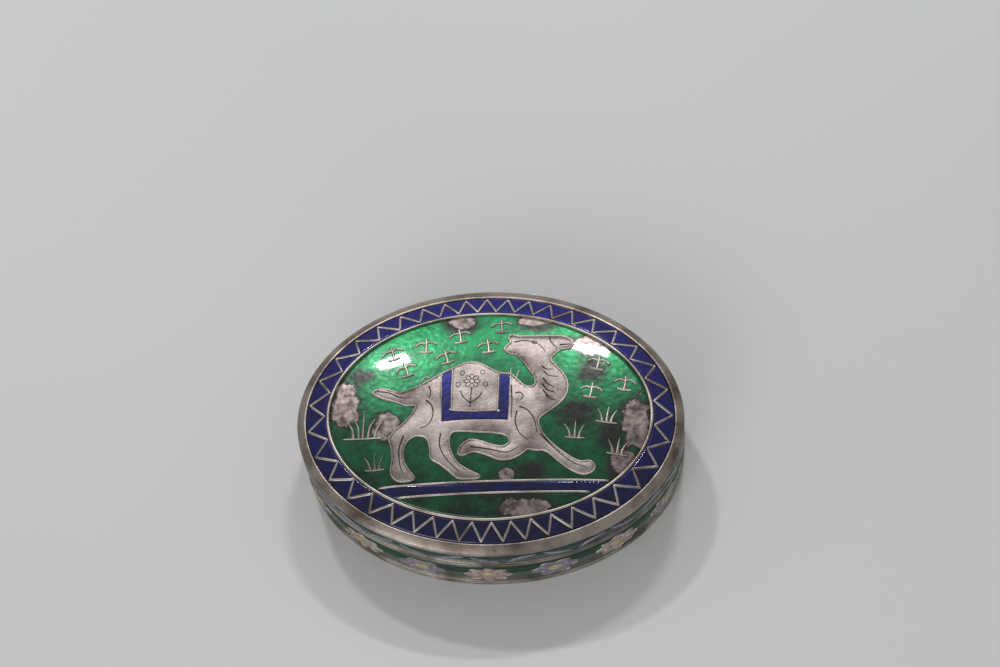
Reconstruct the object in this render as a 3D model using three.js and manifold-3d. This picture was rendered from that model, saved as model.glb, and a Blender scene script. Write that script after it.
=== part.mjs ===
// An oval enamelled silver snuff box, lying shut on its base. Millimetres, +Z up.
// X is the long axis, the hinge is at the back (+Y), and the origin is the middle of the underside.
// The lid is a domed plate carrying enamel cells: a blue zigzag border round a green medallion
// with a walking camel, sprigs and grass in silver. It turns on a five-knuckle hinge.
import * as THREE from "three";
import { mergeVertices } from "three/addons/utils/BufferGeometryUtils.js";
import Module from "manifold-3d";

const wasm = await Module();
wasm.setup();

// Driving dimensions

const boxLength = 82;
const boxWidth = 61.5;

const baseThickness = 0.8;
const bodyHeight = 10.5;
const bodyWallThickness = 1.5;
const liningThickness = 0.7;
const liningStandsAboveBody = 2.2;
const liningClearance = 0.2;

const seamGap = 0.3;
const lidBandHeight = 5.1;
const lidBandThickness = 1.4;

const rimWidth = 2;
const rimEdgeHeight = 0.5;
const rimRise = 0.9;
const rimFlangeDepth = 0.9;
const rimFlangeWidth = 2;

const borderWidth = 4.85;
const borderRise = 1.7;
const medallionRise = 2.2;
const medallionRoundness = 2.4;
const bezelWidth = 0.7;
const bezelProud = 0.15;

const plateThickness = 0.7;
const lidEnamelDepth = 0.75;
const inlayDepth = 0.5;
const wireWidth = 0.5;
const wireProud = 0.1;

const sideEnamelDepth = 0.55;
const sideInlayDepth = 0.3;
const bodyEnamelMargin = 0.85;
const lidEnamelMargin = 0.6;

const zigzagPoints = 39;
const zigzagWireWidth = 0.55;
const zigzagPhase = 0.012;

const flowerPlaces = 16;
const flowerLength = 10.4;
const flowerHeight = 6.6;
const petalDepth = 0.22;
const pinkLobes = 8;
const lilacLobes = 6;

const knuckleRadius = 1.1;
const knuckleLength = 3.4;
const knuckleCount = 5;
const knuckleEndGap = 0.12;
const pinRadius = 0.5;
const pinClearance = 0.05;
const pinHeadLength = 0.35;
const pinHeadRadius = 0.8;
const hingeStandOff = 0.15;
const leafDrop = 2.5;
const leafReach = 1.5;

// Fused and soldered faces are drawn this far apart.
const jointGap = 0.05;
// Enamel lies this far below the metal that holds it.
const enamelSink = 0.06;
const roundSteps = 36;
const hingeRoundSteps = 16;

// The picture is drawn, in millimetres, for a medallion of this size, and is stretched to the real one.
const drawnLength = 68.3;
const drawnWidth = 47.8;

// Sizes and heights that follow

const halfLength = boxLength / 2;
const halfWidth = boxWidth / 2;
const ovalDifference = halfLength - halfWidth;
const medallionHalfLength = halfLength - rimWidth - borderWidth;
const medallionHalfWidth = halfWidth - rimWidth - borderWidth;

const seamBottom = bodyHeight;
const seamTop = seamBottom + seamGap;
const lidBandTop = seamTop + lidBandHeight;
const rimEdgeBottom = lidBandTop + jointGap;
const rimEdgeTop = rimEdgeBottom + rimEdgeHeight;
const rimInnerTop = rimEdgeTop + rimRise;
const bezelHeight = rimInnerTop + borderRise;
const domeTop = bezelHeight + medallionRise;

const liningInset = Math.max(bodyWallThickness, lidBandThickness) + liningClearance;
const plateOuter = halfLength - rimWidth - jointGap;
const plateDepth = lidEnamelDepth + jointGap;
const pocketDepth = inlayDepth + jointGap;

const hingeY = halfWidth + hingeStandOff + knuckleRadius;
const hingeZ = (seamBottom + seamTop) / 2;
const hingeLength = knuckleCount * knuckleLength + (knuckleCount - 1) * knuckleEndGap;

// Colours

const silver = { color: 0x9a9286, roughness: 0.34, metalness: 1 };
const paleSilver = { color: 0xb4a8a2, roughness: 0.45, metalness: 0.8 };
const greenEnamel = { color: 0x0c5a30, roughness: 0.12, metalness: 0.1 };
const blueEnamel = { color: 0x1a1c5e, roughness: 0.15, metalness: 0.1 };
const pinkEnamel = { color: 0xc6a8a2, roughness: 0.3, metalness: 0 };
const lilacEnamel = { color: 0x77708f, roughness: 0.3, metalness: 0 };

// Solids and meshes

function solidOf(geometry) {
  const bare = new THREE.BufferGeometry();
  const source = geometry.index ? geometry.toNonIndexed() : geometry;
  bare.setAttribute("position", source.getAttribute("position"));
  const merged = mergeVertices(bare, 1e-4);
  const mesh = new wasm.Mesh({
    numProp: 3,
    vertProperties: new Float32Array(merged.attributes.position.array),
    triVerts: new Uint32Array(merged.index.array),
  });
  return new wasm.Manifold(mesh);
}

function geometryOf(solid) {
  const mesh = solid.getMesh();
  const positions = new Float32Array(mesh.numVert * 3);
  for (let i = 0; i < mesh.numVert; i++) {
    const start = i * mesh.numProp;
    positions.set(mesh.vertProperties.subarray(start, start + 3), i * 3);
  }
  const geometry = new THREE.BufferGeometry();
  geometry.setAttribute("position", new THREE.BufferAttribute(positions, 3));
  geometry.setIndex(new THREE.BufferAttribute(new Uint32Array(mesh.triVerts), 1));
  return geometry;
}

function piece(name, solid, finish) {
  const material = new THREE.MeshStandardMaterial({ ...finish, flatShading: true });
  const mesh = new THREE.Mesh(geometryOf(solid), material);
  mesh.name = name;
  return mesh;
}

function joined(solids) {
  return solids.reduce((whole, next) => whole.add(next));
}

// The oval

// Half-width of the oval ring whose half-length is r. Rings outside the medallion are
// a constant width apart, and those inside it keep the medallion's proportions.
function ovalHalfWidth(r) {
  if (r >= medallionHalfLength) return r - ovalDifference;
  return (r * medallionHalfWidth) / medallionHalfLength;
}

// A closed profile of [half-length, height] pairs, taken round the oval.
function ovalTurned(profile) {
  const points = [...profile, profile[0]].map(([r, z]) => new THREE.Vector2(r, z));
  const geometry = new THREE.LatheGeometry(points, roundSteps);
  geometry.rotateX(Math.PI / 2);
  const position = geometry.getAttribute("position");
  for (let i = 0; i < position.count; i++) {
    const x = position.getX(i);
    const y = position.getY(i);
    const r = Math.hypot(x, y);
    if (r > 1e-6) position.setY(i, (y * ovalHalfWidth(r)) / r);
  }
  return solidOf(geometry);
}

function ovalRing(insetOuter, insetInner, low, high) {
  const outer = halfLength - insetOuter;
  const inner = halfLength - insetInner;
  return ovalTurned([
    [inner, low],
    [outer, low],
    [outer, high],
    [inner, high],
  ]);
}

function ovalDisc(inset, low, high) {
  const outer = halfLength - inset;
  return ovalTurned([
    [0, low],
    [outer, low],
    [outer, high],
    [0, high],
  ]);
}

// The dome of the lid

// Height of the lid's finished top surface over the ring of half-length r.
function domeHeight(r) {
  const rimInner = halfLength - rimWidth;
  if (r >= rimInner) return rimInnerTop - (rimRise * (r - rimInner)) / rimWidth;
  if (r >= medallionHalfLength) {
    const across = (rimInner - r) / borderWidth;
    return rimInnerTop + borderRise * Math.sin((across * Math.PI) / 4) * Math.SQRT2;
  }
  const out = r / medallionHalfLength;
  return bezelHeight + medallionRise * (1 - out ** medallionRoundness);
}

const medallionStations = [0, 0.65];
const borderStations = [0, 1];

// Rings of the dome between two half-lengths, from the inner one out.
function domeStations(inner, outer) {
  const all = [
    ...medallionStations.map((share) => share * medallionHalfLength),
    ...borderStations.map((share) => medallionHalfLength + share * borderWidth),
  ];
  return [inner, ...all.filter((r) => r > inner + 0.4 && r < outer - 0.4), outer];
}

// A skin that follows the dome, from one height above its surface down to another.
function domeSkin(inner, outer, above, below) {
  const stations = domeStations(inner, outer);
  const under = stations.map((r) => [r, domeHeight(r) - below]);
  const over = stations.map((r) => [r, domeHeight(r) + above]).reverse();
  return ovalTurned([...under, ...over]);
}

// Flat outlines

function prism(outline, low, high) {
  const shape = new THREE.Shape(outline.map(([x, y]) => new THREE.Vector2(x, y)));
  const geometry = new THREE.ExtrudeGeometry(shape, { depth: high - low, bevelEnabled: false });
  geometry.translate(0, 0, low);
  return geometry;
}

function upright(outline) {
  return solidOf(prism(outline, seamTop, domeTop + 2));
}

function normalAt(before, here, after) {
  const a = new THREE.Vector2(here[0] - before[0], here[1] - before[1]).normalize();
  const b = new THREE.Vector2(after[0] - here[0], after[1] - here[1]).normalize();
  const along = a.clone().add(b);
  if (along.length() < 1e-6) along.copy(a);
  along.normalize();
  const reach = 1 / Math.max(0.4, along.dot(b));
  return new THREE.Vector2(along.y, -along.x).multiplyScalar(reach);
}

// A closed outline moved outwards by a distance, or inwards by a negative one.
function grown(outline, distance) {
  const vectors = outline.map(([x, y]) => new THREE.Vector2(x, y));
  const outwards = distance * Math.sign(THREE.ShapeUtils.area(vectors));
  return outline.map((here, i) => {
    const before = outline[(i + outline.length - 1) % outline.length];
    const after = outline[(i + 1) % outline.length];
    const normal = normalAt(before, here, after);
    return [here[0] + normal.x * outwards, here[1] + normal.y * outwards];
  });
}

// The outline of a wire of the given width laid along an open line.
function strip(line, width) {
  const sides = line.map((here, i) => {
    const before = line[i - 1] ?? [2 * here[0] - line[i + 1][0], 2 * here[1] - line[i + 1][1]];
    const after = line[i + 1] ?? [2 * here[0] - before[0], 2 * here[1] - before[1]];
    const normal = normalAt(before, here, after).multiplyScalar(width / 2);
    return { left: [here[0] - normal.x, here[1] - normal.y], right: [here[0] + normal.x, here[1] + normal.y] };
  });
  return [...sides.map((side) => side.left), ...sides.map((side) => side.right).reverse()];
}

function smooth(points, steps, closed) {
  const curve = new THREE.CatmullRomCurve3(
    points.map(([x, y]) => new THREE.Vector3(x, y, 0)),
    closed,
    "centripetal",
  );
  const sampled = curve.getSpacedPoints(steps).map((p) => [p.x, p.y]);
  return closed ? sampled.slice(0, -1) : sampled;
}

// From the drawing to the medallion.
function fitted(points) {
  const alongX = (2 * medallionHalfLength) / drawnLength;
  const alongY = (2 * (medallionHalfWidth - bezelWidth / 2)) / drawnWidth;
  return points.map(([x, y]) => [x * alongX, y * alongY]);
}

// The picture, drawn in millimetres

const camelDrawing = [
  [-24.8, 4.4], [-23.6, 5.3], [-21.9, 5.3], [-20.2, 4.6], [-18.2, 4.4], [-15.4, 5.5], [-12.6, 7.2],
  [-10.3, 8.7], [-7.9, 10.0], [-5.6, 11.2], [-3.4, 11.5], [-1.4, 10.8], [0.8, 9.5], [2.6, 8.8],
  [4.5, 8.6], [6.0, 7.1], [7.3, 5.9], [8.7, 5.5], [9.7, 6.3], [9.3, 8.1], [8.1, 10.1], [6.7, 12.0],
  [5.5, 13.4], [3.9, 13.8], [2.9, 14.8], [3.5, 16.0], [4.2, 16.6], [3.7, 17.8], [4.4, 18.6],
  [6.0, 18.3], [8.2, 18.3], [10.8, 18.4], [13.3, 18.5], [15.4, 18.5], [16.9, 17.5], [17.5, 16.4],
  [16.7, 15.4], [15.0, 15.0], [13.7, 13.8], [12.8, 12.4], [14.0, 10.7], [15.4, 9.1], [16.4, 7.1],
  [16.5, 4.9], [15.7, 2.8], [13.9, 0.8], [11.9, -0.8], [10.6, -2.3], [10.9, -4.2], [12.2, -6.3],
  [14.4, -8.5], [17.0, -10.4], [19.4, -11.5], [21.4, -11.3], [22.4, -12.5], [21.7, -13.8],
  [19.9, -14.3], [17.3, -13.3], [14.7, -11.4], [12.3, -9.4], [10.2, -9.3], [8.4, -9.1], [7.1, -10.2],
  [5.0, -11.3], [2.5, -11.4], [0.0, -10.4], [-2.6, -9.7], [-4.8, -10.5], [-6.1, -10.1], [-5.3, -8.2],
  [-3.6, -7.0], [-1.5, -7.3], [0.9, -8.1], [3.2, -8.5], [4.6, -7.5], [3.9, -6.0], [1.8, -5.4],
  [-2.0, -5.2], [-5.8, -5.0], [-7.6, -5.5], [-8.0, -7.6], [-7.3, -10.2], [-5.7, -12.6], [-3.2, -14.1],
  [-1.6, -14.9], [-1.5, -15.6], [-3.8, -15.7], [-6.0, -15.5], [-8.2, -13.7], [-10.1, -12.2],
  [-11.7, -11.2], [-12.0, -8.8], [-12.7, -6.7], [-14.5, -5.9], [-16.5, -6.9], [-17.5, -9.1],
  [-17.3, -11.8], [-16.0, -14.0], [-14.9, -15.5], [-16.4, -16.1], [-18.7, -15.9], [-20.0, -14.2],
  [-19.8, -11.0], [-20.2, -8.2], [-20.7, -6.4], [-19.1, -4.3], [-17.1, -2.3], [-15.6, 0.0],
  [-15.6, 1.2], [-17.6, 1.2], [-19.9, 2.2], [-22.4, 3.0],
];

// Corners of the saddle cloth and of the flowered panel on it. Their tops run past the camel's back.
const clothDrawing = [
  [-10.3, 13], [-10.3, 8], [-10.1, 3], [-9.9, -3.0], [-5.0, -2.6], [0.0, -2.5], [4.3, -2.6], [4.4, 3], [4.5, 13],
];
const panelDrawing = [
  [-7.9, 13], [-7.9, 6], [-7.8, -0.1], [-3.0, -0.3], [1.9, -0.1], [1.95, 6], [2.0, 13],
];

const groundTopDrawing = [
  [-28, -18.1], [-20, -17.2], [-12, -16.75], [-3, -16.35], [8, -15.95], [18, -15.6], [30, -15.4],
];
const groundBottomDrawing = [
  [-26, -20.1], [-20, -19.7], [-12, -19.25], [-3, -18.85], [8, -18.45], [18, -18.1], [28, -17.9],
];

const camelSteps = 84;

// Place of each sprig's foot, and its lean in degrees.
const sprigPlaces = [
  [-20.6, 12.6, 16], [-13.9, 14.3, 0], [-17.4, 8.4, 18], [-9.0, 11.5, 17], [-6.5, 16.7, 9],
  [-0.4, 14.1, 8], [2.2, 19.3, 4], [22.5, 10.3, -12], [21.2, 3.4, -10], [28.3, 5.5, -8],
];
const sprigHeight = 3.3;
const sprigFootWidth = 2.8;
const sprigArms = [
  [-2.2, 1.7], [-1.2, 2.3], [0, 2.35], [1.2, 2.5], [2.2, 1.9],
];

// Place of each tuft's foot, its lean, the width of its foot, and its blades from root to tip.
const outerBlades = [
  [[-0.9, 0], [-1.3, 1.4], [-2.2, 2.9]],
  [[0, 0], [0.1, 3.6]],
  [[0.9, 0], [1.1, 1.4], [1.9, 3.0]],
];
const tallBlades = [
  [[-2.0, 0], [-2.4, 2.2], [-3.9, 4.2]],
  [[-0.9, 0], [-1.1, 2.4], [-2.1, 4.4]],
  [[0, 0], [0.1, 5.6]],
  [[1.1, 0], [1.4, 2.4], [2.5, 4.3]],
  [[2.5, 0], [3.0, 2.2], [4.4, 4.1]],
];
const tuftPlaces = [
  { at: [-26.3, -6.2], lean: 0, foot: 8.6, blades: tallBlades },
  { at: [-23.4, -13.4], lean: 3, foot: 4.2, blades: outerBlades },
  { at: [18.1, -6.2], lean: -2, foot: 4.4, blades: outerBlades },
  { at: [24.7, -2.4], lean: -6, foot: 4.6, blades: outerBlades },
  { at: [26.9, -9.6], lean: -7, foot: 4.4, blades: outerBlades },
];
const bladeWidth = 0.45;

// The picture, as outlines on the medallion

const camelOutline = smooth(fitted(camelDrawing), camelSteps, true);
const clothOutline = fitted(clothDrawing);
const panelOutline = fitted(panelDrawing);
const groundTop = fitted(groundTopDrawing);
const groundBottom = fitted(groundBottomDrawing);
const groundBand = [...groundTop, ...[...groundBottom].reverse()];

function placed(points, [x, y], leanDegrees) {
  const lean = THREE.MathUtils.degToRad(leanDegrees);
  const place = fitted([[x, y]])[0];
  return points.map(([px, py]) => [
    place[0] + px * Math.cos(lean) - py * Math.sin(lean),
    place[1] + px * Math.sin(lean) + py * Math.cos(lean),
  ]);
}

function sprigLines([x, y, lean]) {
  const strokes = [
    [[0, 0], [0, sprigHeight]],
    [[-sprigFootWidth / 2, 0], [sprigFootWidth / 2, 0]],
    sprigArms,
  ];
  return strokes.map((stroke) => placed(stroke, [x, y], lean));
}

function tuftLines({ at, lean, foot, blades }) {
  const footLine = [[-foot / 2, 0], [foot / 2, 0]];
  return [footLine, ...blades].map((stroke) => placed(stroke, at, lean));
}

function wires(lines, width) {
  return joined(lines.map((line) => upright(strip(line, width))));
}

// Skins that the picture is cut from

const fieldEdge = medallionHalfLength - bezelWidth / 2 - jointGap;
const inlaySkin = domeSkin(0, fieldEdge - jointGap, -enamelSink, inlayDepth);
const wireSkin = domeSkin(0, fieldEdge - jointGap, wireProud, inlayDepth);
const pocketSkin = domeSkin(0, fieldEdge, 1, pocketDepth);

function outlineWire(outline, width) {
  return upright(grown(outline, width / 2)).subtract(upright(grown(outline, -width / 2)));
}

// The camel and its saddle cloth

function camelPieces() {
  const wireReach = wireWidth / 2 + jointGap;
  const inside = upright(grown(camelOutline, -wireReach));
  const cloth = upright(grown(clothOutline, wireWidth / 2));
  const clothField = upright(grown(clothOutline, -wireReach));
  const panel = upright(grown(panelOutline, wireWidth / 2));
  const panelField = upright(grown(panelOutline, -wireReach));
  const clothHole = upright(grown(clothOutline, wireReach));
  const panelHole = upright(grown(panelOutline, wireReach));
  return [
    piece("camel_figure", inlaySkin.intersect(inside).subtract(clothHole), paleSilver),
    piece("camel_outline_wire", wireSkin.intersect(outlineWire(camelOutline, wireWidth)), silver),
    piece("saddle_cloth_frame", wireSkin.intersect(inside).intersect(cloth)
      .subtract(upright(grown(clothOutline, -wireWidth / 2))), silver),
    piece("saddle_cloth_enamel", inlaySkin.intersect(inside).intersect(clothField)
      .subtract(panelHole), blueEnamel),
    piece("saddle_panel_frame", wireSkin.intersect(inside).intersect(panel)
      .subtract(upright(grown(panelOutline, -wireWidth / 2))), silver),
    piece("saddle_panel", inlaySkin.intersect(inside).intersect(panelField), paleSilver),
  ];
}

// Ground line, sprigs and grass

function groundPieces() {
  const band = upright(grown(groundBand, -wireWidth / 2 - jointGap));
  return [
    piece("ground_line_enamel", inlaySkin.intersect(band), blueEnamel),
    piece("ground_line_upper_wire", wireSkin.intersect(upright(strip(groundTop, wireWidth))), silver),
    piece("ground_line_lower_wire", wireSkin.intersect(upright(strip(groundBottom, wireWidth))), silver),
  ];
}

function sprigPieces() {
  return sprigPlaces.map((place, i) => {
    const name = `sprig_${String(i + 1).padStart(2, "0")}`;
    return piece(name, wireSkin.intersect(wires(sprigLines(place), wireWidth)), silver);
  });
}

function tuftPieces() {
  return tuftPlaces.map((tuft, i) => {
    return piece(`grass_tuft_${i + 1}`, wireSkin.intersect(wires(tuftLines(tuft), bladeWidth)), silver);
  });
}

// The green field, with a pocket for everything that is laid in it.
function fieldPiece() {
  const pockets = joined([
    upright(grown(camelOutline, wireWidth / 2 + jointGap)),
    upright(grown(groundBand, wireWidth / 2 + jointGap)),
    ...sprigPlaces.map((place) => wires(sprigLines(place), wireWidth + 2 * jointGap)),
    ...tuftPlaces.map((tuft) => wires(tuftLines(tuft), bladeWidth + 2 * jointGap)),
  ]);
  const field = domeSkin(0, fieldEdge, -enamelSink, lidEnamelDepth);
  return piece("medallion_enamel", field.subtract(pockets.intersect(pocketSkin)), greenEnamel);
}

// The blue border

const borderOuter = halfLength - rimWidth - 2 * jointGap;
const borderInner = medallionHalfLength + bezelWidth / 2 + jointGap;

function pointOnOval(halfX, halfY, angle) {
  const reach = (halfX * halfY) / Math.hypot(halfY * Math.cos(angle), halfX * Math.sin(angle));
  return [reach * Math.cos(angle), reach * Math.sin(angle)];
}

function zigzagLine() {
  const step = (2 * Math.PI) / zigzagPoints;
  const pitch = (2 * Math.PI * Math.sqrt(halfLength * halfWidth)) / zigzagPoints;
  const slant = Math.atan2(pitch / 2, borderWidth);
  const tip = (zigzagWireWidth / 2) / Math.sin(slant) + 2 * jointGap;
  const line = [];
  for (let i = 0; i < zigzagPoints; i++) {
    const outer = borderOuter - tip;
    const inner = borderInner + tip;
    line.push(pointOnOval(outer, outer - ovalDifference, zigzagPhase + i * step));
    line.push(pointOnOval(inner, inner - ovalDifference, zigzagPhase + (i + 0.5) * step));
  }
  return line;
}

function borderPieces() {
  const line = zigzagLine();
  const groove = outlineWire(line, zigzagWireWidth + 2 * jointGap);
  const skin = domeSkin(borderInner, borderOuter, -enamelSink, lidEnamelDepth);
  const grooveSkin = domeSkin(borderInner, borderOuter, 1, pocketDepth);
  const zigzagSkin = domeSkin(borderInner + jointGap, borderOuter - jointGap, wireProud, inlayDepth);
  return [
    piece("border_enamel", skin.subtract(groove.intersect(grooveSkin)), blueEnamel),
    piece("border_zigzag_wire", zigzagSkin.intersect(outlineWire(line, zigzagWireWidth)), silver),
  ];
}

// Lid plate, rim, bezel and band

function lidPlate() {
  return piece("lid_plate", domeSkin(0, plateOuter, -plateDepth, plateDepth + plateThickness), silver);
}

function medallionBezel() {
  const inner = medallionHalfLength - bezelWidth / 2;
  const outer = medallionHalfLength + bezelWidth / 2;
  return piece("medallion_bezel", domeSkin(inner, outer, bezelProud, lidEnamelDepth), silver);
}

// A bevelled frame: its flange reaches down inside the band, and its ledge carries the plate.
function lidRim() {
  const ledge = rimInnerTop - plateDepth - plateThickness - jointGap;
  const flangeOuter = halfLength - lidBandThickness - jointGap;
  const flangeInner = flangeOuter - rimFlangeWidth;
  const inner = halfLength - rimWidth;
  return piece("lid_rim", ovalTurned([
    [flangeInner, ledge - rimFlangeDepth],
    [flangeOuter, ledge - rimFlangeDepth],
    [flangeOuter, rimEdgeBottom],
    [halfLength, rimEdgeBottom],
    [halfLength, rimEdgeTop],
    [inner, rimInnerTop],
    [inner, ledge],
    [flangeInner, ledge],
  ]), silver);
}

// A wall with a channel for enamel round its outer face.
function channelledWall(low, high, thickness, margin) {
  const inner = halfLength - thickness;
  const floor = halfLength - sideEnamelDepth - jointGap;
  return ovalTurned([
    [inner, low],
    [halfLength, low],
    [halfLength, low + margin],
    [floor, low + margin],
    [floor, high - margin],
    [halfLength, high - margin],
    [halfLength, high],
    [inner, high],
  ]);
}

function channelFill(low, high, margin) {
  return ovalRing(enamelSink, sideEnamelDepth, low + margin + jointGap, high - margin - jointGap);
}

function lidBandPieces() {
  return [
    piece("lid_band", channelledWall(seamTop, lidBandTop, lidBandThickness, lidEnamelMargin), silver),
    piece("lid_band_enamel", channelFill(seamTop, lidBandTop, lidEnamelMargin), greenEnamel),
  ];
}

// Body and its flowers

const wallBottom = baseThickness + jointGap;
const flowerMiddle = (wallBottom + bodyHeight) / 2;
const wallLine = new THREE.EllipseCurve(0, 0, halfLength, halfWidth, -Math.PI / 2, 1.5 * Math.PI);

function flowerOutline(lobes, growth) {
  const steps = lobes * 2;
  const outline = [];
  for (let i = 0; i < steps; i++) {
    const angle = (i * 2 * Math.PI) / steps;
    const reach = 1 - (petalDepth * (1 - Math.cos(lobes * angle))) / 2;
    outline.push([
      (flowerLength / 2) * reach * Math.cos(angle),
      (flowerHeight / 2) * reach * Math.sin(angle),
    ]);
  }
  return grown(outline, growth);
}

// A flower's outline pushed through the wall, square to it, at one of the places round the oval.
function flowerPrism(place, growth) {
  const lobes = place % 2 ? lilacLobes : pinkLobes;
  const at = wallLine.getPointAt(place / flowerPlaces);
  const along = wallLine.getTangentAt(place / flowerPlaces);
  const tangent = new THREE.Vector3(along.x, along.y, 0);
  const up = new THREE.Vector3(0, 0, 1);
  const frame = new THREE.Matrix4().makeBasis(tangent, up, tangent.clone().cross(up));
  frame.setPosition(at.x, at.y, flowerMiddle);
  const through = 2 * bodyWallThickness;
  return solidOf(prism(flowerOutline(lobes, growth), -through, through).applyMatrix4(frame));
}

// Every place round the oval but the one at the back, which the hinge covers.
function flowerIndexes() {
  return Array.from({ length: flowerPlaces }, (_, i) => i).filter((i) => i !== flowerPlaces / 2);
}

function flowerPieces() {
  const skin = ovalRing(enamelSink, sideInlayDepth, wallBottom, bodyHeight);
  return flowerIndexes().map((place, i) => {
    const name = `body_flower_${String(i + 1).padStart(2, "0")}`;
    return piece(name, skin.intersect(flowerPrism(place, 0)), place % 2 ? lilacEnamel : pinkEnamel);
  });
}

function bodyEnamel() {
  const pockets = joined(flowerIndexes().map((place) => flowerPrism(place, jointGap)));
  const cut = ovalRing(-jointGap, sideInlayDepth + jointGap, wallBottom, bodyHeight);
  const fill = channelFill(wallBottom, bodyHeight, bodyEnamelMargin);
  return piece("body_enamel", fill.subtract(pockets.intersect(cut)), greenEnamel);
}

function bodyPieces() {
  const liningTop = bodyHeight + liningStandsAboveBody;
  const lining = ovalRing(liningInset, liningInset + liningThickness, wallBottom, liningTop);
  return [
    piece("base_plate", ovalDisc(0, 0, baseThickness), silver),
    piece("body_wall", channelledWall(wallBottom, bodyHeight, bodyWallThickness, bodyEnamelMargin), silver),
    piece("lid_seat_lining", lining, silver),
    bodyEnamel(),
    ...flowerPieces(),
  ];
}

// Hinge

function alongHinge(radius, from, to) {
  const geometry = new THREE.CylinderGeometry(radius, radius, to - from, hingeRoundSteps);
  geometry.rotateZ(Math.PI / 2);
  geometry.translate((from + to) / 2, hingeY, hingeZ);
  return solidOf(geometry);
}

function knuckle(index, radius, endRoom) {
  const start = -hingeLength / 2 + index * (knuckleLength + knuckleEndGap);
  return alongHinge(radius, start - endRoom, start + knuckleLength + endRoom);
}

// A leaf fills the space between the wall and its knuckles, and leaves room for the other leaf's.
function hingeLeaf(name, own, others, low, high) {
  const depth = leafReach + hingeY - halfWidth;
  const block = new THREE.BoxGeometry(hingeLength, depth, high - low);
  block.translate(0, hingeY - depth / 2, (low + high) / 2);
  const bore = alongHinge(pinRadius + pinClearance, -hingeLength, hingeLength);
  const room = others.map((index) => knuckle(index, knuckleRadius + hingeStandOff, knuckleEndGap));
  const leaf = solidOf(block)
    .subtract(ovalDisc(-jointGap, low - leafDrop, high + leafDrop))
    .subtract(joined(room))
    .add(joined(own.map((index) => knuckle(index, knuckleRadius, 0))))
    .subtract(bore);
  return piece(name, leaf, silver);
}

function hingePin() {
  const neck = hingeLength / 2 + knuckleEndGap;
  const end = neck + pinHeadLength;
  const heads = [alongHinge(pinHeadRadius, -end, -neck), alongHinge(pinHeadRadius, neck, end)];
  return piece("hinge_pin", joined([alongHinge(pinRadius, -end, end), ...heads]), silver);
}

const bodyKnuckles = [0, 2, 4];
const lidKnuckles = [1, 3];

const bodyGroup = new THREE.Group();
bodyGroup.add(...bodyPieces());
bodyGroup.add(hingeLeaf("body_hinge_leaf", bodyKnuckles, lidKnuckles, hingeZ - leafDrop, seamBottom));
bodyGroup.add(hingePin());

const lidGroup = new THREE.Group();
lidGroup.add(lidPlate(), medallionBezel(), lidRim(), ...lidBandPieces(), ...borderPieces());
lidGroup.add(fieldPiece(), ...camelPieces(), ...groundPieces(), ...sprigPieces(), ...tuftPieces());
lidGroup.add(hingeLeaf("lid_hinge_leaf", lidKnuckles, bodyKnuckles, seamTop, hingeZ + leafDrop));

const snuffBox = new THREE.Group();
snuffBox.add(bodyGroup, lidGroup);

export default snuffBox;
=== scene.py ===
import math

import bmesh
import bpy
from mathutils import Matrix, Vector
from mathutils.geometry import delaunay_2d_cdt


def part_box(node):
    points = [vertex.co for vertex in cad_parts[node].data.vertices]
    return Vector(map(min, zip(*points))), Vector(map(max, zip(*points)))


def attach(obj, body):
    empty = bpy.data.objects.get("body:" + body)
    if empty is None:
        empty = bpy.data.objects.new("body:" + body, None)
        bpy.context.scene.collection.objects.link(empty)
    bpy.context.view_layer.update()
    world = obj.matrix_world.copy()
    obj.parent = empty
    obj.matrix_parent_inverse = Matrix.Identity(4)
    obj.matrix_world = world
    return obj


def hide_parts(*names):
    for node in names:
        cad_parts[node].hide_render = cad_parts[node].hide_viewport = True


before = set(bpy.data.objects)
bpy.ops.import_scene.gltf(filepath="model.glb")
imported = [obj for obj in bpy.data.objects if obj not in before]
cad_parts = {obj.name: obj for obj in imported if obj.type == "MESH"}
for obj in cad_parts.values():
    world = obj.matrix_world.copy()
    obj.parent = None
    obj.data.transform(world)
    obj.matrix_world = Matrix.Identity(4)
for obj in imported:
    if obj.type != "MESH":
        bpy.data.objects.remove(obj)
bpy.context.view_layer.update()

MM = 0.001


def box_mm(node):
    low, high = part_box(node)
    return low / MM, high / MM


# Sizes read from the frame

BASE_LOW, BASE_HIGH = box_mm("base_plate")
WALL_LOW, WALL_HIGH = box_mm("body_wall")
BAND_LOW, BAND_HIGH = box_mm("lid_band")
RIM_LOW, RIM_HIGH = box_mm("lid_rim")
LINING_LOW, LINING_HIGH = box_mm("lid_seat_lining")
PLATE_LOW, PLATE_HIGH = box_mm("lid_plate")
BODY_FILL_LOW, BODY_FILL_HIGH = box_mm("body_enamel")
BAND_FILL_LOW, BAND_FILL_HIGH = box_mm("lid_band_enamel")
BEZEL_HIGH = box_mm("medallion_bezel")[1]

# Sizes of the metalwork

HALF_X = BASE_HIGH.x
HALF_Y = BASE_HIGH.y
OVAL_GAP = HALF_X - HALF_Y
# Soldered faces lie this far apart, as they do in the frame.
JOINT_GAP = 0.05
WALL_THICKNESS = 1.5
BAND_THICKNESS = 1.4
LINING_THICKNESS = 0.7
CHANNEL_DEPTH = 0.55

BEZEL_WIDTH = 0.7
BEZEL_CROWN = 0.24
BEZEL_DEPTH = 0.7
MED_X = BEZEL_HIGH.x - BEZEL_WIDTH / 2
MED_Y = MED_X - OVAL_GAP

RIM_EDGE_RISE = 0.55
RIM_LEDGE = 2
RIM_BEVEL = 0.7
RIM_BEVEL_RISE = 0.45
RIM_LIP = 0.35
RIM_LIP_RISE = 0.03
RIM_INNER = PLATE_HIGH.x + JOINT_GAP
RIM_WIDTH = HALF_X - RIM_INNER
RIM_EDGE_TOP = BAND_HIGH.z + RIM_EDGE_RISE

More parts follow.
